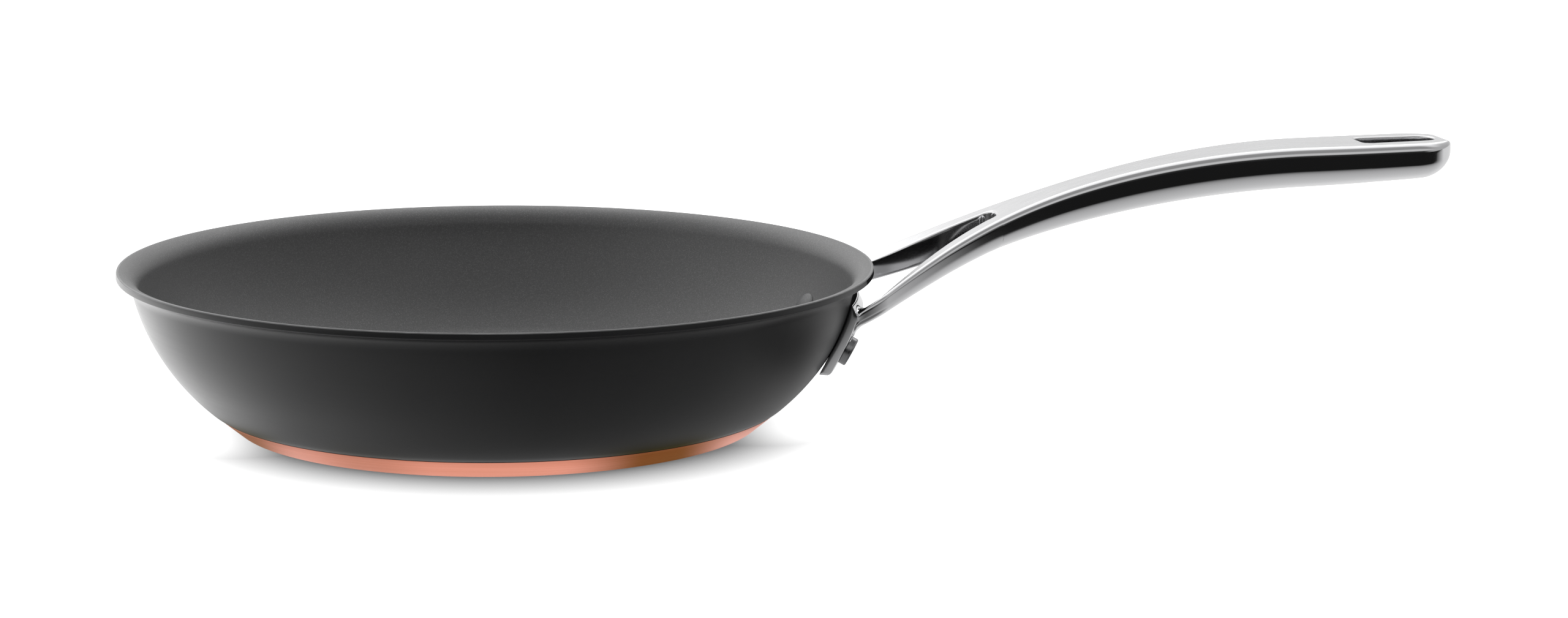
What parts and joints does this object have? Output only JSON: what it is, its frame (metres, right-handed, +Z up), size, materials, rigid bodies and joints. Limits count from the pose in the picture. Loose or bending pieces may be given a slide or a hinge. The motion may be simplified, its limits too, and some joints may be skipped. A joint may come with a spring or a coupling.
{
  "type": "omelette pan",
  "caption": "Shallow round frying pan with a curved wall and flared lip, a thick copper-skirted base and an arched, forked metal handle riveted to the wall.",
  "frame": {"origin": "centre of the flat underside that the pan stands on", "axes": "+Z up, +X from the bowl towards the tip of the handle"},
  "size_m": [0.442, 0.244, 0.089],
  "materials": {
    "anodised": "dark grey hard-anodised outside with a soft sheen, and a charcoal non-stick coating with fine metallic flecks inside",
    "core": "plain",
    "copper": "copper, finely brushed round the edge",
    "plate_steel": "turned, with fine concentric lines",
    "handle_steel": "polished stainless steel casting, satin on its top face",
    "rivet": "plain, satin"
  },
  "bodies": {
    "root": {"pan_body": "anodised", "base_core": "core", "copper_base": "copper", "base_plate": "plate_steel", "handle": "handle_steel", "rivet_left": "rivet", "rivet_right": "rivet"}
  },
  "joints": []
}
